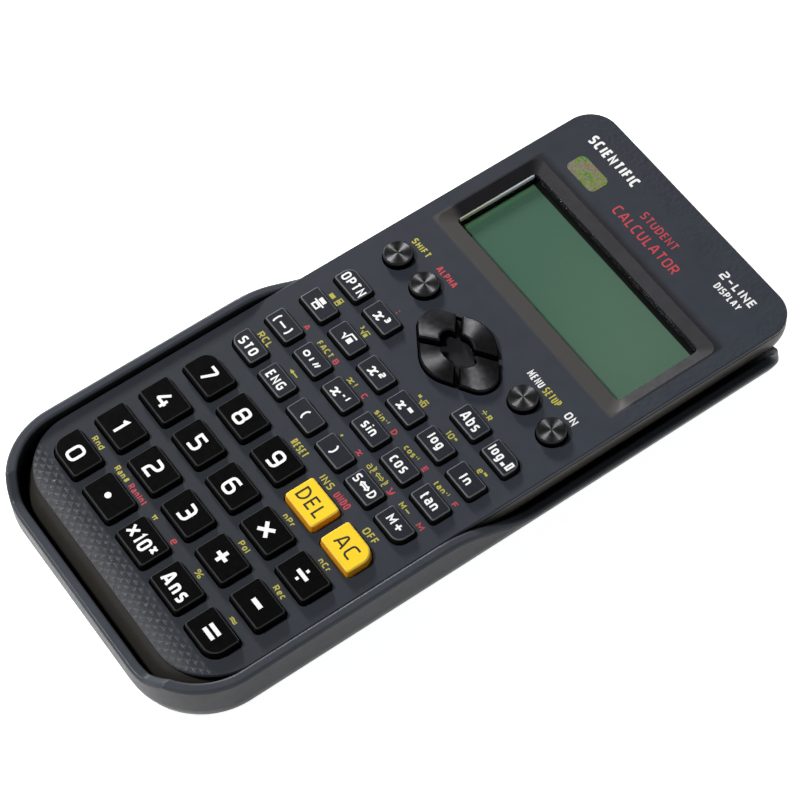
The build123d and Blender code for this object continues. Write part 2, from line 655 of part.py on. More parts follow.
def main():
    nodes = all_nodes()
    whole = Compound([solid for shape in nodes.values() for solid in shape.solids()]).bounding_box()
    # The origin is the middle of the whole object's outline, on the surface that it rests on.
    to_origin = Pos(-whole.center().X, -whole.center().Y, -whole.min.Z)
    os.makedirs("parts", exist_ok=True)
    for name, shape in nodes.items():
        export_step(to_origin * shape, f"parts/{name}.step")
    print("face centre is at", to_origin.position, "and the nodes are", len(nodes))


main()
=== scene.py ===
import math

import bpy
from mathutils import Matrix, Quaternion, Vector
from mathutils.geometry import delaunay_2d_cdt

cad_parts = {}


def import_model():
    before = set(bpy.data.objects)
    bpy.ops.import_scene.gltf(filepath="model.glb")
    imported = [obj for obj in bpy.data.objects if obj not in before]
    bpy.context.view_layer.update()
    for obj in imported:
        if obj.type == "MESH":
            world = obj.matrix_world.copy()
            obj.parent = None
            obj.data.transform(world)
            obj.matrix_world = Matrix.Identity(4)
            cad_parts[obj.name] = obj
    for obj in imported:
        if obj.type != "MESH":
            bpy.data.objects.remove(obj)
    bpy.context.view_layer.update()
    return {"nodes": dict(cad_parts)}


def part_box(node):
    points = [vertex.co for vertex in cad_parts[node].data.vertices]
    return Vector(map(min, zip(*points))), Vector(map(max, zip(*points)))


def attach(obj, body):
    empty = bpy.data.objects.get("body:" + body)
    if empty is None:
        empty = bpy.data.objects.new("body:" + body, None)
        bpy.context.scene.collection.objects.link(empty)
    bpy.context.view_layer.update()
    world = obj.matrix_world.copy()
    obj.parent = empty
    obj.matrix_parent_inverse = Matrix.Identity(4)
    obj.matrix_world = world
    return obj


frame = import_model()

MM = 0.001
NODES = frame["nodes"]
FACE_LOW, FACE_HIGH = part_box("front_case")
# The middle of the front face, in metres.
FACE = Vector(((FACE_LOW.x + FACE_HIGH.x) / 2, (FACE_LOW.y + FACE_HIGH.y) / 2, FACE_HIGH.z))

CLEAR_KEYS = ("key_delete", "key_all_clear")
ROUND_KEYS = ("key_shift", "key_alpha", "key_menu", "key_on")
CURSOR_KEYS = ("cursor_left", "cursor_right", "cursor_down", "cursor_up")
# The well of the cursor pad: its middle, how far it reaches along x and y, and how square its outline is.
PAD_CENTRE = (0.0, 13.7)
PAD_REACH = (17.4, 11.0)
PAD_SQUARENESS = 1.7
# The active area of the display.
ACTIVE_MIDDLE = 46.4
ACTIVE_HALF = (30.2, 11.1)


def place(x, y, z=0.0):
    """A point of the shared frame in metres, from millimetres on the front face."""
    return FACE + Vector((x, y, z)) * MM


# ---- shader helpers ----
class Shader:
    """A material with one Principled BSDF, and short names for the nodes that feed it."""

    def __init__(self, name, **values):
        self.material = bpy.data.materials.new(name)
        self.material.use_nodes = True
        self.tree = self.material.node_tree
        self.bsdf = self.tree.nodes["Principled BSDF"]
        self.coords = self.tree.nodes.new("ShaderNodeTexCoord").outputs["Object"]
        for socket, value in values.items():
            self.bsdf.inputs[socket.replace("_", " ")].default_value = value

    def node(self, kind, inputs, **settings):
        made = self.tree.nodes.new(kind)
        for key, value in settings.items():
            setattr(made, key, value)
        for key, value in inputs.items():
            self.feed(made.inputs[key], value)
        return made

    def feed(self, socket, value):
        if isinstance(value, bpy.types.NodeSocket):
            self.tree.links.new(value, socket)
        else:
            socket.default_value = value

    def math(self, operation, a, b=0.0, clamp=False):
        return self.node("ShaderNodeMath", {0: a, 1: b}, operation=operation, use_clamp=clamp).outputs[0]

    def times(self, a, b):
        return self.math("MULTIPLY", a, b)

    def plus(self, a, b):
        return self.math("ADD", a, b)

    def minus(self, a, b):
        return self.math("SUBTRACT", a, b)

    def vector(self, operation, a, b=(0, 0, 0)):
        return self.node("ShaderNodeVectorMath", {0: a, 1: b}, operation=operation).outputs["Vector"]

    def axes(self, vector):
        return self.node("ShaderNodeSeparateXYZ", {0: vector}).outputs

    def geometry(self, output):
        return self.node("ShaderNodeNewGeometry", {}).outputs[output]

    def uprightness(self):
        """The z of the surface's normal: one on a flat top and nothing on a wall."""
        return self.axes(self.geometry("Normal"))[2]

    def noise(self, size, detail=2.0, roughness=0.5, stretch=(1, 1, 1)):
        """Noise whose features are about size millimetres across."""
        scaled = self.vector("MULTIPLY", self.coords, tuple(s / (size * MM) for s in stretch))
        made = self.node("ShaderNodeTexNoise",
                         {"Vector": scaled, "Scale": 1.0, "Detail": detail, "Roughness": roughness})
        return made.outputs["Fac"]

    def cells(self, size, feature):
        """Distances in a pattern of cells about size millimetres across."""
        scaled = self.vector("MULTIPLY", self.coords, (1 / (size * MM),) * 3)
        made = self.node("ShaderNodeTexVoronoi", {"Vector": scaled, "Scale": 1.0}, feature=feature)
        return made.outputs["Distance"]

    def span(self, value, low, high, to_low=0.0, to_high=1.0, smooth=True):
        """Carries low to high over to to_low to to_high, and stays level beyond both ends."""
        made = self.node("ShaderNodeMapRange", {0: value, 1: low, 2: high, 3: to_low, 4: to_high},
                         interpolation_type="SMOOTHSTEP" if smooth else "LINEAR")
        return made.outputs[0]

    def uneven(self, noise, low, high):
        """Noise spread from low to high."""
        return self.span(noise, 0.3, 0.7, low, high)

    def within(self, value, half, soft):
        """One where value lies less than half from zero, with an edge that is soft on both sides."""
        return self.span(self.math("ABSOLUTE", value), half - soft, half + soft, 1.0, 0.0)

    def mix(self, factor, a, b, **settings):
        return self.node("ShaderNodeMix", {0: factor, 6: a, 7: b}, data_type="RGBA", **settings).outputs[2]

    def bump(self, height, distance, strength=1.0, normal=None):
        inputs = {"Height": height, "Distance": distance * MM, "Strength": strength}
        if normal is not None:
            inputs["Normal"] = normal
        return self.node("ShaderNodeBump", inputs).outputs[0]

    def finished(self, **links):
        """Feeds the BSDF and gives back the material."""
        for socket, value in links.items():
            self.feed(self.bsdf.inputs[socket.replace("_", " ")], value)
        return self.material


def shade(colour, factor=1.0):
    return tuple(c * factor for c in colour) + (1.0,)


def face_axes(s):
    """x, y and z in millimetres from the middle of the front face, as sockets."""
    moved = s.vector("SUBTRACT", s.coords, tuple(FACE))
    return s.axes(s.vector("MULTIPLY", moved, (1 / MM,) * 3))


def moulded(name, colour, roughness, grain, depth, spread=0.12, **values):
    """Moulded plastic: fine spark-eroded grain, with slightly uneven colour and gloss."""
    s = Shader(name, **values)
    blotched = s.mix(s.noise(9.0, 3.0), shade(colour, 1 - spread), shade(colour, 1 + spread))
    return s.finished(Base_Color=blotched,
                      Roughness=s.uneven(s.noise(2.5, 4.0, 0.6), roughness - 0.04, roughness + 0.04),
                      Normal=s.bump(s.noise(grain), depth))


# ---- materials ----
PANEL_COLOUR = (0.0272, 0.0318, 0.0420)
# Painted highlight: the lighter colour of the embossed triangles' facets.
PAINTED_FACET_HIGHLIGHT = (0.115, 0.117, 0.126)
LIT_EDGE = (0.085, 0.085, 0.092)
# The display's frame: a painted reflection on its lower slope, then its own dark colour above.
BEZEL_LOW_REFLECTION, BEZEL_HIGH = (0.068, 0.064, 0.062), (0.012, 0.011, 0.014)
# Painted shade for the sunken hub and bridges of the cursor pad.
PAD_WELL_SHADE = (0.0075, 0.0078, 0.0095)
TRIANGLE_PITCH, TRIANGLE_ROW = 2.4, 1.2


def triangle_rows(s, x, y):
    """Height of small pointed facets in staggered rows."""
    across = s.math("DIVIDE", x, TRIANGLE_PITCH)
    up = s.math("DIVIDE", y, TRIANGLE_ROW)
    shift = s.times(s.math("FLOORED_MODULO", s.math("FLOOR", up), 2.0), 0.5)
    along_row = s.math("FRACT", s.plus(across, shift))
    off_centre = s.times(s.math("ABSOLUTE", s.minus(along_row, 0.5)), 2.0)
    return s.math("SUBTRACT", s.minus(1.15, s.math("FRACT", up)), off_centre, clamp=True)


def frame_mask(s, x, y):
    """One over the sloped frame of the display, fading out over its rounded rim: the fade paints the rim's
    shading, a painted reflection below the frame and painted shade above it.
    """
    low_side = s.span(y, 30.5, 31.8)
    # Painted shade: the dark frame colour reaches beyond the frame's upper edge.
    high_side = s.span(y, 62.0, 64.4, 1.0, 0.0)
    return s.times(s.times(low_side, high_side), s.within(x, 34.5, 0.4))


def pad_mask(s, x, y):
    """One over the hub and bridges of the cursor pad."""
    reach = [s.math("DIVIDE", s.math("ABSOLUTE", s.minus(value, middle)), half)
             for value, middle, half in zip((x, y), PAD_CENTRE, PAD_REACH)]
    across, along = [s.math("POWER", value, PAD_SQUARENESS) for value in reach]
    return s.span(s.plus(across, along), 0.96, 1.0, 1.0, 0.0)


def panel_tone_and_painted_shade(s, x, y):
    """The plain panel with painted light and shade: darker towards the key end and the left, lighter towards
    the right and the display, with faint clouds.
    """
    # Painted shade and light: these two ramps darken the key end and the left side and lighten the right and
    # the display end.
    along = s.span(y, -78.0, 20.0, 0.80, 1.08)
    across = s.span(x, -38.0, 38.0, 0.93, 1.14, smooth=False)
    clouds_and_painted_shade = s.times(s.times(along, across), s.uneven(s.noise(12.0, 3.0), 0.96, 1.04))
    return s.mix(clouds_and_painted_shade, (0, 0, 0, 1), shade(PANEL_COLOUR), clamp_factor=False)


def panel_material():
    """Matte panel: embossed triangles at the key end with a painted highlight on their facets and along the
    key end's edge, painted shade and light over the plain panel, a painted reflection on the display's
    frame, painted shade in the cursor pad's well, and a hide grain at the display end.
    """
    s = Shader("panel_plastic", Specular_IOR_Level=0.24)
    x, y, z = face_axes(s)
    key_end = s.span(s.plus(y, s.times(s.noise(7.0), 2.0)), -73.6, -77.4)
    worn = s.span(s.noise(0.8, 3.0, 0.7), 0.35, 0.65, 0.3, 1.0)
    triangles = s.times(s.times(triangle_rows(s, x, y), worn), key_end)
    # Painted highlight: the embossed facets are coloured lighter, as where they catch the light.
    patterned = s.mix(s.times(triangles, 0.8), panel_tone_and_painted_shade(s, x, y), shade(PAINTED_FACET_HIGHLIGHT))
    lit = s.mix(s.times(s.span(y, -77.5, -82.0), 0.8), patterned, shade(LIT_EDGE))
    # Painted reflection: the frame's lower slope is lighter than the rest of it.
    frame_colour_and_reflection = s.mix(s.span(y, 35.4, 38.0), shade(BEZEL_LOW_REFLECTION), shade(BEZEL_HIGH))
    framed = s.mix(frame_mask(s, x, y), lit, frame_colour_and_reflection)
    # Painted shade: the pad's hub and bridges, sunk below the face, are darkened.
    well = s.times(pad_mask(s, x, y), s.span(z, -0.30, -0.10, 1.0, 0.0))
    right_side = s.times(s.span(x, 31.0, 37.0), s.span(y, 20.0, 38.0))
    display_end = s.math("MAXIMUM", right_side, s.span(y, 70.0, 81.0))
    hide = s.times(s.times(s.cells(1.0, "SMOOTH_F1"), display_end), 0.5)
    matte = s.uneven(s.noise(3.0, 4.0), 0.50, 0.58)
    return s.finished(Base_Color=s.mix(well, framed, shade(PAD_WELL_SHADE)),
                      Roughness=s.minus(matte, s.times(key_end, 0.12)),
                      Normal=s.bump(s.plus(triangles, hide), 0.14, 1.0, s.bump(s.noise(0.16), 0.008)))


# Depths under a key's top between which its colour changes.
TOP_STARTS, TOP_IS_WHOLE = 0.06, 0.02
BEVEL_STARTS, BEVEL_IS_WHOLE = 0.36, 0.24


def capped_key(name, top, edge, side, roughness, height, gloss):
    """A key whose flat top, bevelled edge and sides are three colours; the bevel's lighter colour is a
    painted highlight.
    """
    s = Shader(name, Specular_IOR_Level=gloss)
    z = face_axes(s)[2]
    upper = s.mix(s.noise(5.0, 3.0), shade(top, 0.95), shade(top, 1.05))
    # Painted highlight: the bevel round the top takes the lighter edge colour.
    bevelled = s.mix(s.span(z, height - TOP_STARTS, height - TOP_IS_WHOLE), shade(edge), upper)
    return s.finished(
        Base_Color=s.mix(s.span(z, height - BEVEL_STARTS, height - BEVEL_IS_WHOLE), shade(side), bevelled),
        Roughness=s.uneven(s.noise(1.5, 4.0, 0.6), roughness - 0.02, roughness + 0.02),
        Normal=s.bump(s.noise(0.13), 0.003))


def turned_gloss(name, centre, tint, roughness=0.34):
    """Dark metallised plastic, spun round a centre, and plain black on its walls."""
    s = Shader(name, Metallic=1.0, Anisotropic=0.9)
    x, y, _ = face_axes(s)
    outward = s.node("ShaderNodeCombineXYZ", {0: s.minus(x, centre[0]), 1: s.minus(y, centre[1])})
    around = s.vector("NORMALIZE", s.vector("CROSS_PRODUCT", (0, 0, 1), outward.outputs[0]))
    smudge = s.noise(1.2, 4.0)
    spun = s.mix(smudge, shade(tint, 0.85), shade(tint, 1.1))
    return s.finished(Base_Color=s.mix(s.span(s.uprightness(), 0.60, 0.90), (0.012, 0.012, 0.013, 1), spun),
                      Roughness=s.uneven(smudge, roughness - 0.03, roughness + 0.03), Tangent=around)


def lcd_material():
    """The liquid crystal cell: green-grey inside the active area and black round it, with painted light
    across it and along its left edge.
    """
    s = Shader("lcd_cell", Specular_IOR_Level=0.25, Roughness=0.5)
    x, y, _ = face_axes(s)
    inside = s.times(s.within(x, ACTIVE_HALF[0], 0.1),
                     s.within(s.minus(y, ACTIVE_MIDDLE), ACTIVE_HALF[1], 0.1))
    # Painted light: the cell turns lighter and greyer towards the right and the top.
    painted_light_slant = s.span(s.plus(x, s.times(y, 0.8)), 5.0, 70.0)
    base = s.mix(painted_light_slant, (0.079, 0.168, 0.115, 1), (0.122, 0.208, 0.150, 1))
    grain = s.mix(s.noise(0.35, 3.0, 0.7), (0.92, 0.92, 0.92, 1), (1.08, 1.08, 1.08, 1))
    toned = s.mix(1.0, base, grain, blend_type="MULTIPLY")
    # Painted light: a brighter green band along the left edge of the active area.
    left_painted_light = s.span(s.plus(x, 29.2), 0.0, 1.0, 0.45, 0.0)
    with_painted_light = s.mix(left_painted_light, toned, (0.12, 0.28, 0.12, 1))
    return s.finished(Base_Color=s.mix(inside, (0.004, 0.004, 0.004, 1), with_painted_light),
                      Normal=s.bump(s.noise(0.4), 0.002))


def clear_material():
    """Clear acrylic: see-through, with the reflection of the face that a ray meets first."""
    s = Shader("clear_acrylic")
    see_through = s.node("ShaderNodeBsdfTransparent", {"Color": (0.93, 0.95, 0.94, 1)})
    gloss = s.node("ShaderNodeBsdfGlossy", {"Color": (0.9, 0.9, 0.9, 1), "Roughness": 0.04})
    dust = s.span(s.noise(0.5, 4.0, 0.7), 0.70, 0.76, 0.0, 0.02)
    reflected = s.math("ADD", s.node("ShaderNodeFresnel", {"IOR": 1.45}).outputs[0], dust, clamp=True)
    # A face met from inside reflects nothing: as no ray is bent, it would mirror every slanting one.
    share = s.times(reflected, s.minus(1.0, s.geometry("Backfacing")))
    mixed = s.node("ShaderNodeMixShader", {0: share, 1: see_through.outputs[0], 2: gloss.outputs[0]})
    s.tree.links.new(mixed.outputs[0], s.tree.nodes["Material Output"].inputs["Surface"])
    s.tree.nodes.remove(s.bsdf)
    return s.material


def ink(name, colour):
    s = Shader(name, Roughness=0.5)
    return s.finished(Base_Color=s.mix(s.noise(0.3, 3.0), shade(colour, 0.93), shade(colour, 1.05)),
                      Normal=s.bump(s.noise(0.1), 0.002))


def foil_material():
    """Iridescent foil: soft streaks of green, yellow and orange over silver."""
    s = Shader("foil", Metallic=0.35)
    ramp = s.node("ShaderNodeValToRGB", {0: s.noise(2.2, 3.0, 0.6, (0.6, 1.4, 1.0))})
    stops = ((0.32, (0.36, 0.20, 0.07, 1)), (0.42, (0.24, 0.25, 0.23, 1)), (0.50, (0.26, 0.31, 0.06, 1)),
             (0.60, (0.07, 0.24, 0.05, 1)), (0.70, (0.28, 0.30, 0.29, 1)))
    while len(ramp.color_ramp.elements) < len(stops):
        ramp.color_ramp.elements.new(0.5)
    for element, (position, colour) in zip(ramp.color_ramp.elements, stops):
        element.position = position
        element.color = colour
    return s.finished(Base_Color=ramp.outputs[0], Roughness=s.uneven(s.noise(0.6, 3.0), 0.25, 0.5),
                      Normal=s.bump(s.noise(0.5, 3.0), 0.01))


def board_material():
    """Green solder mask with paler tracks under it."""
    s = Shader("solder_mask", Roughness=0.35)
    between = s.span(s.cells(2.4, "DISTANCE_TO_EDGE"), 0.04, 0.08)
    return s.finished(Base_Color=s.mix(between, (0.05, 0.22, 0.09, 1), (0.015, 0.09, 0.035, 1)))


def cover_material():
    """Hard smooth plastic: slate where it faces up, with painted shade making it darker down its walls."""
    s = Shader("cover_plastic", Specular_IOR_Level=0.16)
    blotch = s.uneven(s.noise(9.0, 3.0), 0.0, 1.0)
    # Painted shade: the walls take a far darker colour than the faces that look up.
    wall = s.mix(blotch, (0.0115, 0.0125, 0.0150, 1), (0.0135, 0.0147, 0.0175, 1))
    rim = s.mix(blotch, (0.047, 0.052, 0.062, 1), (0.052, 0.058, 0.069, 1))
    return s.finished(Base_Color=s.mix(s.span(s.uprightness(), 0.10, 0.75), wall, rim),
                      Roughness=s.uneven(s.noise(2.5, 4.0, 0.6), 0.34, 0.40),
                      Normal=s.bump(s.noise(0.25), 0.004))


def sleeve_material():
    """A plain battery sleeve with a copper band at one end."""
    s = Shader("battery_sleeve", Metallic=0.4, Roughness=0.35)
    banded = s.span(face_axes(s)[0], 9.0, 9.3)
    return s.finished(Base_Color=s.mix(banded, (0.03, 0.03, 0.035, 1), (0.55, 0.33, 0.08, 1)),
                      Normal=s.bump(s.noise(0.4), 0.003))


def paint(material, *names):
    for name in names:
        NODES[name].data.materials.clear()
        NODES[name].data.materials.append(material)


def paint_cases_and_insides():
    paint(panel_material(), "front_case")
    paint(moulded("shell_plastic", (0.030, 0.028, 0.024), 0.42, 0.18, 0.008, Specular_IOR_Level=0.3),
          "rear_case", "battery_door")
    paint(cover_material(), "slide_cover")
    paint(moulded("plated_steel", (0.55, 0.55, 0.56), 0.3, 0.1, 0.003, 0.05, Metallic=1.0), "case_screws")
    paint(moulded("silicone", (0.55, 0.55, 0.52), 0.6, 0.2, 0.005, 0.05), "key_mat")
    paint(board_material(), "main_board")
    paint(sleeve_material(), "battery")
    paint(lcd_material(), "lcd_panel")
    paint(clear_material(), "display_window")


def paint_keys():
    """Large keys are glossy black, small ones slate, and the two that clear are yellow."""
    large, small = top_centre("key_0")[2], top_centre("key_sine")[2]
    # Painted highlight: the edge colour of the number and function keys is much lighter than their tops.
    number = capped_key("number_key", (0.0018, 0.0018, 0.0018), (0.040, 0.040, 0.041),
                        (0.002, 0.002, 0.002), 0.30, large, 0.12)
    function = capped_key("function_key", (0.0150, 0.0172, 0.0242), (0.125, 0.127, 0.138),
                          (0.003, 0.003, 0.003), 0.40, small, 0.25)
    clear = capped_key("clear_key", (0.97, 0.67, 0.026), (0.98, 0.66, 0.08),
                       (0.80, 0.33, 0.010), 0.36, large, 0.35)
    for name in NODES:
        if name in ROUND_KEYS:
            paint(turned_gloss("turned_" + name, top_centre(name)[:2], (0.17, 0.17, 0.175)), name)
        elif name in CLEAR_KEYS:
            paint(clear, name)
        elif name.startswith("key_") and name != "key_mat":
            paint(number if abs(top_centre(name)[2] - large) < 0.05 else function, name)
    paint(turned_gloss("turned_pad", PAD_CENTRE, (0.10, 0.10, 0.105)), *CURSOR_KEYS)


# ---- legends: a stroke alphabet ----
# Each sign has its width in tenths of the capital height, then its strokes. A stroke is a run of points x,y
# on a grid of ten by ten; a third number scales the rounding of that corner, and 0 leaves it sharp.
# A stroke that starts with * is a filled outline, and one that ends where it starts is closed.
# ½, ¼ and ¢ stand for fractions of boxes or letters, √ and ∜ for a root over a filled or an open box.
SIGNS = {
    "0": (7, "0,0 10,0 10,10 0,10 0,0"),
    "1": (3.4, "0,8.4 9,10,0 9,0"),
    "2": (7, "0,10 10,10 10,5.3 0,4.5 0,0,0 10,0"),
    "3": (7, "0,10 10,10 10,0 0,0; 2.5,5.2 10,5.2"),
    "4": (7.8, "5.6,10 0,3,0.4 10,3; 7.8,6 7.8,0"),
    "5": (7, "10,10 0.6,10,0 0.6,5.7,.4 10,5.7 10,0 0,0"),
    "6": (7, "9.4,10 0,10 0,0 10,0 10,5.7 0,5.7"),
    "7": (7, "0,10 10,10,.7 3.6,0"),
    "8": (7, "0,0 10,0 10,5.2 0,5.2 0,0; 0.6,5.2 0.6,10 9.4,10 9.4,5.2"),
    "9": (7, "10,4.3 0,4.3 0,10 10,10 10,0 0.6,0"),
    "A": (7.6, "0,0 3.8,10,.3 6.2,10,.3 10,0; 1.6,2.8 8.4,2.8"),
    "B": (6.6, "0,0,0 0,10,0 9.2,10 9.2,5.3 0,5.3; 5,5.3 10,5.3 10,0 0,0"),
    "C": (6.4, "10,10 0,10 0,0 10,0"),
    "D": (6.8, "0,0,0 6,0,2 10,3,2 10,7,2 6,10,2 0,10,0 0,0"),
    "E": (5.8, "10,10 0,10,0 0,0,0 10,0; 0,5.2 9,5.2"),
    "F": (5.6, "10,10 0,10,0 0,0; 0,5 9,5"),
    "G": (6.8, "10,10 0,10 0,0 10,0,.5 10,4.8,0 5.5,4.8"),
    "H": (6.8, "0,0 0,10; 10,0 10,10; 0,5.2 10,5.2"),
    "I": (0, "5,0 5,10"),
    "L": (5.4, "0,10 0,0,0 10,0"),
    "M": (8.2, "0,0 0,10,0 5,3.4,0 10,10,0 10,0"),
    "N": (7, "0,0 0,10,0 10,0,0 10,10"),
    "O": (7, "0,0 10,0 10,10 0,10 0,0"),
    "P": (6.4, "0,0 0,10,0 10,10 10,4.4 0,4.4"),
    "R": (6.6, "0,0 0,10,0 10,10 10,4.8 0,4.8; 4.6,4.8 10,0"),
    "S": (6.6, "10,10 0,10 0,5.2 10,5.2 10,0 0,0"),
    "T": (6.4, "0,10 10,10; 5,10 5,0"),
    "U": (6.8, "0,10 0,0 10,0 10,10"),
    "Y": (7, "0,10 5,4.6,0 10,10; 5,4.6 5,0"),
    "a": (5.6, "0.4,7.2 10,7.2 10,0,0 0,0 0,4 10,4"),
    "b": (5.8, "0,10 0,0,.4 10,0 10,7.2 0,7.2"),
    "c": (5.2, "10,7.2 0,7.2 0,0 10,0"),
    "d": (5.8, "10,10 10,0,.4 0,0 0,7.2 10,7.2"),
    "e": (5.6, "9.6,0 0,0 0,7.2 10,7.2 10,3.7,.4 0,3.7"),
    "g": (5.8, "10,0 0,0 0,7.2 10,7.2,.4 10,-3 0.4,-3"),
    "i": (0, "5,0 5,7.2; 5,9.2 5,10.4"),
    "l": (2.2, "0,10 0,0 10,0"),
    "n": (5.8, "0,0 0,7.2,.3 10,7.2 10,0"),
    "o": (5.8, "0,0 10,0 10,7.2 0,7.2 0,0"),
    "r": (4.2, "0,0 0,7.2,.3 10,7.2"),
    "s": (5.4, "10,7.2 0,7.2 0,3.6 10,3.6 10,0 0,0"),
    "t": (4.2, "2.6,10 2.6,0 10,0; 0,7.2 9.4,7.2"),
    "x": (7.2, "0,5.8 2.2,7.6,2 4.6,6.8,2 5.6,0.8,2 8,0,2 10,1.6; 10,7.2 7.6,6.6,2 2.6,0.6,2 0,0"),
    "χ": (11, "0,8.2 2.2,10,2 4.6,9,2 5.6,1.4,2 8,0.4,2 10,2.4; 10,10 7.6,9.2,2 2.6,1.2,2 0,0.4"),
    "y": (7, "0,6 1.8,7.6,2 3,5.4,2 3.6,0.4,2 7.4,0.6,2 10,7.4; 9.6,4.4 8.4,-1.6,2 5,-3,2 0.6,-2.6"),
    "#": (7, "2.6,0 3.8,10; 6.6,0 7.8,10; 0,3.3 10,3.3; 0,6.7 10,6.7"),
    "%": (7.6, "0.6,0 9.4,10; 0,6.4 3.8,6.4 3.8,10 0,10 0,6.4; 6.2,0 10,0 10,3.6 6.2,3.6 6.2,0"),
    "!": (0, "5,10 5,3.4; 5,1.2 5,0"),
    ",": (1.6, "10,1.8 0,-2"),
    ":": (0, "5,7.4 5,6.0; 5,1.4 5,0"),
    "-": (6, "0,4.6 10,4.6"),
    "+": (8.6, "0,5 10,5; 5,0.4 5,9.6"),
    "−": (9.2, "0,5 10,5"),
    "×": (8.4, "0,0.8 10,9.2; 0,9.2 10,0.8"),
    "÷": (9.6, "0,5 10,5; *3.9,8.2 6.1,8.2 6.1,10.4 3.9,10.4; *3.9,-0.4 6.1,-0.4 6.1,1.8 3.9,1.8"),
    "=": (10, "0,10 10,10; 0,0 10,0"),
    "(": (2.6, "10,11 1.6,8.6,2 0,5,2 1.6,1.4,2 10,-1"),
    ")": (2.6, "0,11 8.4,8.6,2 10,5,2 8.4,1.4,2 0,-1"),
    "√": (13, "0,4.4 1.4,4.8,0 3,0,0 4.2,10,0 10,10; *5.6,0 9.4,0 9.4,6.6 5.6,6.6"),
    "∜": (13, "0,4.4 1.4,4.8,0 3,0,0 4.2,10,0 10,10; 5.6,0,0 9.4,0,0 9.4,6.4,0 5.6,6.4,0 5.6,0"),
    "■": (11.5, "*0,0 10,0 10,8.6 0,8.6"),
    "▪": (6.4, "*0,0 10,0 10,6.4 0,6.4"),
    "▯": (5.2, "0,0,0 10,0,0 10,9.4,0 0,9.4,0 0,0"),
    "⇔": (13, "2.6,1.4 0,5,0 2.6,8.6; 7.4,1.4 10,5,0 7.4,8.6; 1.8,6.5 8.2,6.5; 1.8,3.5 8.2,3.5"),
    "←": (14, "10,4 0.4,4; 3,7 0,4,0 3,1"),
    "π": (7.4, "0,7.2 10,7.2; 2.6,7.2 2.6,0; 7.4,7.2 7.4,0"),
    "≈": (11, "0,5.8 2.4,7.8,2 7.6,5.4,2 10,7.4; 0,1.4 2.4,3.4,2 7.6,1,2 10,3"),
    "°": (4.2, "0,6 10,6 10,10 0,10 0,6"),
    "′": (1.2, "10,10 0,5.6"),
    "″": (4, "4,10 0,5.6; 10,10 6,5.6"),
    "½": (10, "*2,6.8 8,6.8 8,11 2,11; 0,5 10,5; 2.4,-1,0 7.6,-1,0 7.6,3.2,0 2.4,3.2,0 2.4,-1"),
    "¼": (6, "1.5,6.6,0 8.5,6.6,0 8.5,10.6,0 1.5,10.6,0 1.5,6.6; 0,4.8 10,4.8; "
             "1.5,-1,0 8.5,-1,0 8.5,3,0 1.5,3,0 1.5,-1"),
    "¢": (5, "1,11.4 1,6.6 8,6.6 8,9 1,9; 0,4.8 10,4.8; 8,3 1.6,3 1.6,-1.4 8,-1.4"),
}
# Shares of the capital height.
LETTER_GAP = 0.20
WORD_GAP = 0.5
RAISED_SCALE = 0.54
RAISED_BASE = 0.48
RAISED_TUCK = 0.10
LOWERED_BASE = -0.12
CORNER = 0.24
# A stroke's width in raised and lowered signs, as a share of the others'.
SMALL_STROKE = 0.85
# How far ink stands over its surface and goes into it.
INK_TOP = 0.012
INK_ROOT = 0.02
# A triangle with less than this, in square millimetres, for twice its area is left out.
LEAST_TURN = 2e-4


def read_sign(sign):
    """The width of a sign, and its strokes as (filled, points)."""
    width, text = SIGNS[sign]
    strokes = []
    for run in text.split(";"):
        run = run.strip()
        filled = run.startswith("*")
        points = [[float(v) for v in point.split(",")] for point in run.lstrip("*").split()]
        strokes.append((filled, points))
    return width / 10, strokes


def eased_corner(before, corner, after, radius):
    """A curve of a few points in place of a corner."""
    a, b = before - corner, after - corner
    if radius < 1e-4 or a.length < 1e-6 or b.length < 1e-6:
        return [corner]
    reach = min(radius, 0.49 * a.length, 0.49 * b.length)
    start, end = corner + a.normalized() * reach, corner + b.normalized() * reach
    steps = (0.0, 0.25, 0.5, 0.75, 1.0)
    return [start * (1 - t) ** 2 + corner * 2 * t * (1 - t) + end * t ** 2 for t in steps]


def eased(points, factors, radius, closed):
    """The stroke's points with its corners rounded."""
    count = len(points)
    made = []
    for i, corner in enumerate(points):
        if not closed and i in (0, count - 1):
            made.append(corner)
            continue
        made += eased_corner(points[i - 1], corner, points[(i + 1) % count], radius * factors[i])
    return made


def side_step(before, here, after, half):
    """The offset from a stroke's middle line to its left edge at one of its points."""
    first = (here - before).normalized() if before is not None else None
    second = (after - here).normalized() if after is not None else None
    first, second = first or second, second or first
    normal = Vector((-(first.y + second.y), first.x + second.x))
    if normal.length < 1e-6:
        return Vector((-first.y, first.x)) * half
    normal.normalize()
    return normal * (half / max(0.45, normal.dot(Vector((-first.y, first.x)))))


def band(points, closed, width):
    """Four-sided pieces that together make a stroke of constant width."""
    count = len(points)
    edges = []
    for i, here in enumerate(points):
        before = points[i - 1] if closed or i > 0 else None
        after = points[(i + 1) % count] if closed or i < count - 1 else None
        step = side_step(before, here, after, width / 2)
        edges.append((here + step, here - step))
    pieces = []
    for i in range(count if closed else count - 1):
        (a, b), (c, d) = edges[i], edges[(i + 1) % count]
        pieces.append([b, d, c, a])
    return pieces


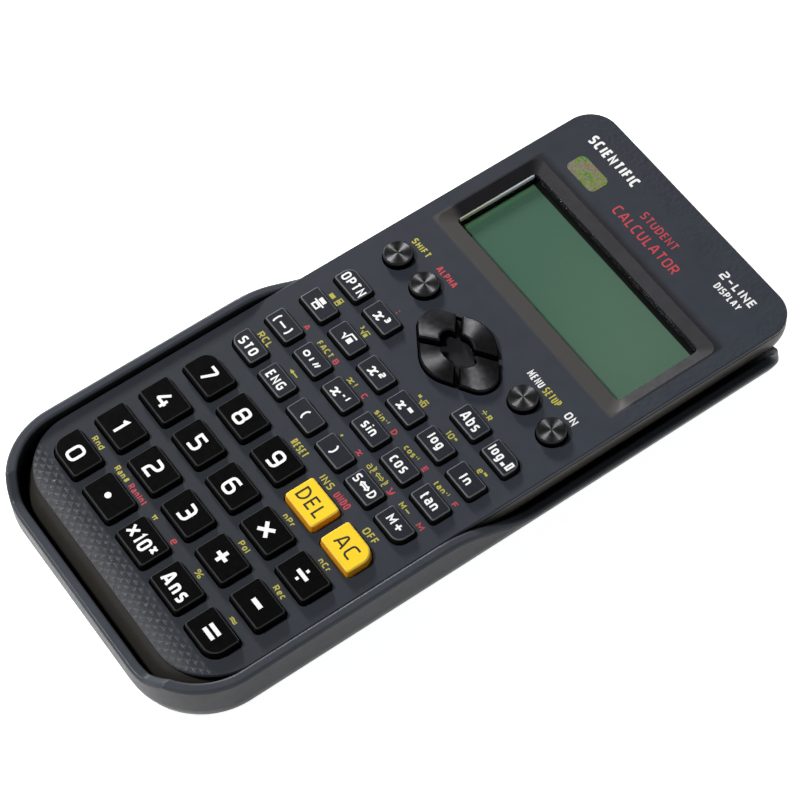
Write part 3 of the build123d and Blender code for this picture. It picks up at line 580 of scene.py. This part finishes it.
def sign_pieces(sign, left, base, height, width, stroke):
    """The flat pieces of one sign whose ink fills the given width and height."""
    inset = Vector((stroke / 2, stroke / 2))
    size = Vector((max(width - stroke, 0.0), height - stroke))
    pieces = []
    for filled, points in read_sign(sign)[1]:
        spots = [Vector((p[0] / 10 * size.x, p[1] / 10 * size.y)) for p in points]
        factors = [p[2] if len(p) > 2 else 1.0 for p in points]
        spots = [spot + inset + Vector((left, base)) for spot in spots]
        if filled:
            pieces.append(spots)
            continue
        closed = (spots[0] - spots[-1]).length < 1e-6
        if closed:
            spots, factors = spots[:-1], factors[:-1]
        line = eased(spots, factors, CORNER * height, closed)
        line = [p for i, p in enumerate(line) if i == 0 or (p - line[i - 1]).length > 1e-4]
        pieces += band(line, closed, stroke)
    return pieces


def laid_out(text, height, stroke):
    """Each sign with its left edge, base, height, width and stroke, and the width of the whole text.

    In a text, ^ raises the signs after it, _ lowers them and ~ ends either.
    """
    rows, pen, scale, base = [], 0.0, 1.0, 0.0
    for sign in text:
        if sign in "^_~":
            pen -= RAISED_TUCK * height if sign == "^" and rows else 0.0
            scale = 1.0 if sign == "~" else RAISED_SCALE
            base = {"^": RAISED_BASE, "_": LOWERED_BASE, "~": 0.0}[sign] * height
            continue
        if sign == " ":
            pen += WORD_GAP * height
            continue
        tall = height * scale
        line = stroke * (SMALL_STROKE if scale < 1 else 1.0)
        wide = max(read_sign(sign)[0] * tall, line)
        rows.append([sign, pen, base, tall, wide, line])
        pen += wide + LETTER_GAP * tall
    return rows, max(row[1] + row[4] for row in rows)


def joined(pieces):
    """One clean flat mesh covering all the pieces, as vertices and triangles."""
    spots, faces = [], []
    for piece in pieces:
        for i in range(1, len(piece) - 1):
            a, b, c = piece[0], piece[i], piece[i + 1]
            turn = (b - a).cross(c - a)
            if abs(turn) < LEAST_TURN:
                continue
            faces.append([len(spots), len(spots) + 1, len(spots) + 2])
            spots += [a, b, c] if turn > 0 else [a, c, b]
    made = delaunay_2d_cdt(spots, [], faces, 0, 1e-5)
    inside = [face for face, origins in zip(made[2], made[5]) if origins]
    return made[0], inside


def slab(name, spots, faces, low, high, spot_to_point):
    """A closed thin solid over a flat mesh."""
    used = sorted({i for face in faces for i in face})
    index = {old: new for new, old in enumerate(used)}
    count = len(used)
    points = [spot_to_point(spots[i], level) for level in (high, low) for i in used]
    solid = [[index[i] for i in face] for face in faces]
    solid += [[index[i] + count for i in reversed(face)] for face in faces]
    ways = {(index[a], index[b]) for face in faces for a, b in zip(face, face[1:] + face[:1])}
    solid += [[a, a + count, b + count, b] for a, b in ways if (b, a) not in ways]
    mesh = bpy.data.meshes.new(name)
    mesh.from_pydata([tuple(p) for p in points], [], solid)
    mesh.validate()
    piece = bpy.data.objects.new(name, mesh)
    bpy.context.scene.collection.objects.link(piece)
    return piece


def write(name, body, text, centre, size, stroke, colour, top=0.0):
    """Prints text, fitted to a size of ink, round a centre on a surface at height top."""
    width, height = size
    rows, natural = laid_out(text, height, stroke)
    stretch = width / natural if width else 1.0
    spots, faces = [], []
    for sign, left, base, tall, wide, line in rows:
        pieces = sign_pieces(sign, left * stretch, base, tall, wide * stretch, line)
        more_spots, more_faces = joined(pieces)
        faces += [[i + len(spots) for i in face] for face in more_faces]
        spots += more_spots
    corner = Vector(centre) - Vector((natural * stretch / 2, height / 2))
    piece = slab(name, spots, faces, top - INK_ROOT, top + INK_TOP,
                 lambda spot, z: place(spot.x + corner.x, spot.y + corner.y, z))
    piece.data.materials.append(INKS[colour])
    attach(piece, body)


INK_COLOURS = {"white": (0.93, 0.93, 0.92), "yellow": (0.50, 0.45, 0.055), "red": (0.54, 0.046, 0.062),
               "black": (0.006, 0.006, 0.006)}
BOLD, SIGN_STROKE, PLAIN_STROKE, SMALL = 0.73, 0.95, 0.46, 0.30
# Legends on the keys: text, offset of the ink's middle from the key's, size of the ink, stroke.
KEY_LEGENDS = {
    "key_7": ("7", (0.2, -0.3), (3.3, 4.5), BOLD),
    "key_8": ("8", (0.1, -0.3), (3.4, 4.5), BOLD),
    "key_9": ("9", (0.1, -0.3), (3.3, 4.5), BOLD),
    "key_delete": ("DEL", (0.1, -0.2), (8.1, 3.7), 0.50),
    "key_all_clear": ("AC", (-0.1, -0.2), (6.2, 3.7), 0.50),
    "key_4": ("4", (0.0, -0.3), (3.7, 4.5), BOLD),
    "key_5": ("5", (0.0, -0.3), (3.2, 4.5), BOLD),
    "key_6": ("6", (0.0, -0.3), (3.4, 4.5), BOLD),
    "key_times": ("×", (-0.1, -0.2), (4.0, 4.2), SIGN_STROKE),
    "key_divide": ("÷", (0.0, -0.1), (4.5, 4.3), SIGN_STROKE),
    "key_1": ("1", (0.0, -0.3), (1.7, 4.5), BOLD),
    "key_2": ("2", (-0.1, -0.1), (3.2, 4.6), BOLD),
    "key_3": ("3", (-0.1, -0.1), (3.1, 4.6), BOLD),
    "key_plus": ("+", (-0.2, 0.0), (4.2, 4.5), SIGN_STROKE),
    "key_minus": ("−", (0.0, -0.2), (4.2, 4.2), 1.15),
    "key_0": ("0", (0.2, -0.3), (3.3, 4.5), BOLD),
    "key_exponent": ("×10^χ", (0.0, -0.4), (9.0, 3.6), 0.66),
    "key_answer": ("Ans", (0.1, -0.4), (7.9, 3.8), 0.70),
    "key_equals": ("=", (0.0, 0.0), (4.6, 2.7), 1.00),
    "key_options": ("OPTN", (0.3, -0.1), (7.6, 2.6), PLAIN_STROKE),
    "key_cube": ("x^3", (0.1, -0.2), (4.1, 2.9), 0.50),
    "key_absolute": ("Abs", (0.0, 0.0), (5.6, 2.8), PLAIN_STROKE),
    "key_log_base": ("log_■~▯", (0.1, 0.0), (7.2, 2.5), PLAIN_STROKE),
    "key_fraction": ("½", (-0.1, 0.1), (3.7, 2.9), 0.40),
    "key_square_root": ("√", (0.1, 0.2), (3.9, 2.7), 0.42),
    "key_square": ("x^2", (0.1, -0.2), (4.2, 2.9), 0.50),
    "key_power": ("x^■", (0.0, -0.3), (4.5, 2.7), 0.50),
    "key_log": ("log", (-0.3, 0.4), (4.2, 2.4), PLAIN_STROKE),
    "key_ln": ("ln", (0.1, 0.0), (2.6, 2.5), PLAIN_STROKE),
    "key_negative": ("(−)", (-0.1, -0.3), (5.3, 2.5), PLAIN_STROKE),
    "key_degrees": ("°′″", (0.0, -1.1), (5.8, 3.4), 0.44),
    "key_reciprocal": ("x^-1", (0.0, -0.5), (4.9, 2.7), 0.50),
    "key_sine": ("sin", (-0.3, 0.0), (4.2, 2.6), PLAIN_STROKE),
    "key_cosine": ("cos", (-0.3, 0.1), (4.9, 2.8), PLAIN_STROKE),
    "key_tangent": ("tan", (-0.1, 0.0), (4.9, 2.6), PLAIN_STROKE),
    "key_store": ("STO", (0.1, -0.3), (5.7, 2.5), 0.50),
    "key_engineering": ("ENG", (-0.1, -0.3), (5.6, 2.5), PLAIN_STROKE),
    "key_open_bracket": ("(", (-0.2, -0.1), (1.1, 2.6), PLAIN_STROKE),
    "key_close_bracket": (")", (-0.3, -0.1), (1.1, 2.6), PLAIN_STROKE),
    "key_standard_decimal": ("S⇔D", (-0.1, 0.1), (7.1, 2.3), 0.42),
    "key_memory_plus": ("M+", (0.0, 0.1), (4.7, 2.3), PLAIN_STROKE),
}
# Legends on the panel: text, middle of the ink, size of the ink, stroke, colour.
PANEL_LEGENDS = (
    ("RESET", (-0.2, -29.7), (5.2, 1.9), 0.34, "yellow"),
    ("INS", (10.7, -29.7), (4.0, 1.9), 0.34, "yellow"),
    ("UNDO", (16.6, -29.7), (4.8, 1.9), 0.34, "red"),
    ("OFF", (27.6, -29.7), (4.4, 1.9), 0.34, "yellow"),
    ("nPr", (13.8, -41.9), (3.6, 1.45), SMALL, "yellow"),
    ("nCr", (27.7, -41.9), (3.6, 1.45), SMALL, "yellow"),
    ("Pol", (13.6, -53.6), (3.2, 1.55), SMALL, "yellow"),
    ("Rec", (27.5, -53.6), (3.7, 1.55), SMALL, "yellow"),
    ("Rnd", (-28.0, -65.5), (3.8, 1.55), SMALL, "yellow"),
    ("Ran#", (-17.9, -65.5), (4.8, 1.55), SMALL, "yellow"),
    ("RanInt", (-11.4, -65.5), (6.2, 1.55), SMALL, "red"),
    ("π", (-4.2, -65.5), (1.6, 1.5), SMALL, "yellow"),
    ("e", (3.4, -65.3), (1.3, 1.9), SMALL, "red"),
    ("%", (13.4, -65.3), (2.1, 1.7), 0.26, "yellow"),
    ("≈", (27.4, -65.5), (2.3, 1.4), SMALL, "yellow"),
    ("SHIFT", (-28.7, 23.9), (6.2, 1.8), 0.36, "yellow"),
    ("ALPHA", (-18.5, 23.9), (6.8, 1.8), 0.36, "red"),
    ("MENU", (16.2, 23.9), (5.0, 2.0), 0.36, "white"),
    ("SETUP", (22.2, 23.9), (5.4, 2.0), 0.34, "yellow"),
    ("ON", (29.4, 23.9), (3.4, 2.1), 0.38, "white"),
    (":", (-17.2, 9.3), (0, 1.9), 0.50, "red"),
    ("÷R", (17.4, 9.2), (3.2, 1.4), SMALL, "yellow"),
    ("▪¼", (-28.7, -0.3), (4.1, 1.9), 0.26, "yellow"),
    ("^3~√", (-17.3, -0.4), (3.2, 1.9), 0.26, "yellow"),
    ("^■~∜", (5.7, -0.4), (3.5, 1.9), 0.26, "yellow"),
    ("10^■", (17.4, -0.5), (3.3, 1.6), SMALL, "yellow"),
    ("e^■", (29.1, -0.5), (2.7, 1.7), SMALL, "yellow"),
    ("A", (-26.1, -10.2), (1.4, 1.5), SMALL, "red"),
    ("FACT", (-18.6, -10.2), (5.2, 1.5), SMALL, "yellow"),
    ("B", (-14.4, -10.2), (1.3, 1.5), SMALL, "red"),
    ("x!", (-7.7, -10.2), (2.9, 1.7), SMALL, "yellow"),
    ("C", (-2.9, -10.2), (1.2, 1.5), SMALL, "red"),
    ("sin^-1", (4.0, -10.2), (4.4, 1.45), SMALL, "yellow"),
    ("D", (8.9, -10.2), (1.3, 1.5), SMALL, "red"),
    ("cos^-1", (15.6, -10.2), (4.5, 1.45), SMALL, "yellow"),
    ("E", (20.8, -10.2), (1.2, 1.5), SMALL, "red"),
    ("tan^-1", (27.1, -10.2), (4.6, 1.45), SMALL, "yellow"),
    ("F", (32.1, -10.2), (1.2, 1.5), SMALL, "red"),
    ("RCL", (-29.0, -19.8), (4.6, 1.8), 0.34, "yellow"),
    ("←", (-17.3, -19.6), (2.8, 1.5), 0.34, "yellow"),
    (",", (2.6, -19.4), (0.6, 2.0), 0.46, "yellow"),
    ("x", (8.6, -19.5), (1.8, 1.7), SMALL, "red"),
    ("a¢⇔¢", (15.7, -19.5), (6.8, 1.8), 0.22, "yellow"),
    ("y", (21.0, -19.3), (1.8, 1.7), SMALL, "red"),
    ("M−", (26.4, -19.6), (3.5, 1.5), SMALL, "yellow"),
    ("M", (32.1, -19.6), (1.8, 1.5), SMALL, "red"),
    ("SCIENTIFIC", (-22.2, 75.5), (17.6, 2.9), 0.62, "white"),
    ("STUDENT", (0.3, 71.6), (12.6, 2.3), 0.34, "red"),
    ("CALCULATOR", (0.3, 67.5), (23.0, 2.8), 0.42, "red"),
    ("2-LINE", (24.0, 76.0), (11.6, 2.3), 0.44, "white"),
    ("DISPLAY", (24.1, 72.9), (8.6, 1.9), 0.34, "white"),
)
INKS = {}


def top_centre(node):
    """The middle of a node's box and the height of its top, in millimetres on the face."""
    low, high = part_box(node)
    middle = ((low + high) / 2 - FACE) / MM
    return middle.x, middle.y, (high.z - FACE.z) / MM


def plate(name, spots, low, high, centre=(0.0, 0.0)):
    """A flat piece with one outline, between two heights over the face."""
    return slab(name, spots, [list(range(len(spots)))], low, high,
                lambda spot, z: place(spot.x + centre[0], spot.y + centre[1], z))


def arc(centre, radius, start, turn, steps):
    """Points along an arc, from an angle in degrees."""
    angles = [math.radians(start + turn * i / steps) for i in range(steps + 1)]
    return [Vector((centre[0] + radius * math.cos(a), centre[1] + radius * math.sin(a))) for a in angles]


def print_point():
    """The decimal point: a round spot of ink."""
    key = "key_point"
    x, y, top = top_centre(key)
    circle = arc((0.0, 0.0), 0.8, 0, 360, 28)[:-1]
    piece = plate("legend_" + key, circle, top - INK_ROOT, top + INK_TOP, (x - 0.2, y - 0.2))
    piece.data.materials.append(INKS["white"])
    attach(piece, key)


def print_legends():
    for colour, tint in INK_COLOURS.items():
        INKS[colour] = ink("ink_" + colour, tint)
    for key, (text, offset, size, stroke) in KEY_LEGENDS.items():
        x, y, top = top_centre(key)
        colour = "black" if key in CLEAR_KEYS else "white"
        middle = (x + offset[0], y + offset[1])
        write("legend_" + key, key, text, middle, size, stroke, colour, top)
    print_point()
    for number, (text, middle, size, stroke, colour) in enumerate(PANEL_LEGENDS):
        write(f"panel_legend_{number:02d}", "calculator", text, middle, size, stroke, colour)


# ---- display details and sticker ----
# Each outline is its lower left corner, its upper right corner and the radius of its corners.
STICKER = ((-28.2, 65.3), (-17.8, 70.9), 1.5)
WINDOW_LIP = ((-31.15, 36.4), (-30.75, 58.4), 0.18)


def rounded_outline(low, high, radius, steps):
    x0, y0, x1, y1 = low[0] + radius, low[1] + radius, high[0] - radius, high[1] - radius
    corners = (((x1, y0), -90), ((x1, y1), 0), ((x0, y1), 90), ((x0, y0), 180))
    return [spot for centre, start in corners for spot in arc(centre, radius, start, 90, steps)]


def sticker():
    piece = plate("foil_sticker", rounded_outline(*STICKER, 6), -0.02, 0.06)
    piece.data.materials.append(foil_material())
    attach(piece, "calculator")


def window_lip():
    """The bright ground edge of the acrylic, seen along the left side of the opening."""
    piece = plate("window_lip", rounded_outline(*WINDOW_LIP, 4), -2.24, -1.25)
    s = Shader("ground_acrylic", Roughness=0.35)
    along = s.span(face_axes(s)[1], 36.0, 58.0)
    tint = s.mix(along, (0.46, 0.48, 0.33, 1), (0.62, 0.68, 0.70, 1))
    piece.data.materials.append(s.finished(Base_Color=tint, Normal=s.bump(s.noise(0.2), 0.004)))
    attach(piece, "calculator")


# ---- studio: places in metres, the lens in millimetres, the roll in degrees ----
CAMERA_AT = (0.28376, -0.18018, 0.54526)
CAMERA_AIM = (0.00263, -0.00102, 0.01440)
CAMERA_ROLL = -3.038
CAMERA_LENS = 124.95
# The direction of each softbox from the object, and its power in watts.
SOFTBOXES = {"left_box": ((-0.358, -0.457, 0.814), 7.5), "far_box": ((-0.893, 0.232, 0.385), 7)}
SOFTBOX_DISTANCE = 1.0
SOFTBOX_SIDE = 0.16
FLOOR_REACH = 3.0
FLOOR_HEIGHT = -0.00005
FLOOR_GLOW = 0.90
# The room's strength, from the height of a direction where it starts to fall to the one where it stops.
ROOM_FALL = (0.20, 0.75)
ROOM_STRENGTH = (0.70, 0.01)


def put(name, data, place_in_room, way, roll=0.0):
    """Adds a camera or a light that looks along a way."""
    made = bpy.data.objects.new(name, data)
    bpy.context.scene.collection.objects.link(made)
    made.location = place_in_room
    made.rotation_mode = "QUATERNION"
    made.rotation_quaternion = way.to_track_quat("-Z", "Y") @ Quaternion((0, 0, 1), math.radians(roll))
    return made


def camera():
    data = bpy.data.cameras.new("camera")
    data.lens = CAMERA_LENS
    data.sensor_width = 36
    data.clip_start, data.clip_end = 0.01, 20
    way = Vector(CAMERA_AIM) - Vector(CAMERA_AT)
    bpy.context.scene.camera = put("camera", data, CAMERA_AT, way, CAMERA_ROLL)


def softbox(name, direction, power):
    data = bpy.data.lights.new(name, "AREA")
    data.size = SOFTBOX_SIDE
    data.energy = power
    away = Vector(direction).normalized()
    put(name, data, away * SOFTBOX_DISTANCE, -away)


def floor():
    mesh = bpy.data.meshes.new("floor")
    ways = ((-1, -1), (1, -1), (1, 1), (-1, 1))
    mesh.from_pydata([(x * FLOOR_REACH, y * FLOOR_REACH, FLOOR_HEIGHT) for x, y in ways], [], [(0, 1, 2, 3)])
    made = bpy.data.objects.new("floor", mesh)
    bpy.context.scene.collection.objects.link(made)
    s = Shader("floor_paper", Roughness=0.9, Specular_IOR_Level=0.0,
               Emission_Color=(1, 1, 1, 1), Emission_Strength=FLOOR_GLOW)
    paper = s.mix(s.noise(40.0), (0.93, 0.93, 0.93, 1), (0.95, 0.95, 0.95, 1))
    made.data.materials.append(s.finished(Base_Color=paper))


def world():
    """A room that is bright low down and dark overhead, so flat tops stay dark and edges catch light."""
    made = bpy.data.worlds.new("studio")
    bpy.context.scene.world = made
    made.use_nodes = True
    tree = made.node_tree
    background = tree.nodes["Background"]
    coords = tree.nodes.new("ShaderNodeTexCoord")
    split = tree.nodes.new("ShaderNodeSeparateXYZ")
    ramp = tree.nodes.new("ShaderNodeMapRange")
    ramp.interpolation_type = "SMOOTHSTEP"
    for index, value in enumerate(ROOM_FALL + ROOM_STRENGTH, start=1):
        ramp.inputs[index].default_value = value
    tree.links.new(coords.outputs["Generated"], split.inputs[0])
    tree.links.new(split.outputs[2], ramp.inputs[0])
    tree.links.new(ramp.outputs[0], background.inputs["Strength"])
    background.inputs["Color"].default_value = (0.96, 0.98, 1.0, 1)


def studio():
    bpy.context.scene.view_settings.view_transform = "Standard"
    world()
    floor()
    for name, (direction, power) in SOFTBOXES.items():
        softbox(name, direction, power)
    camera()


paint_cases_and_insides()
paint_keys()
print_legends()
sticker()
window_lip()
studio()
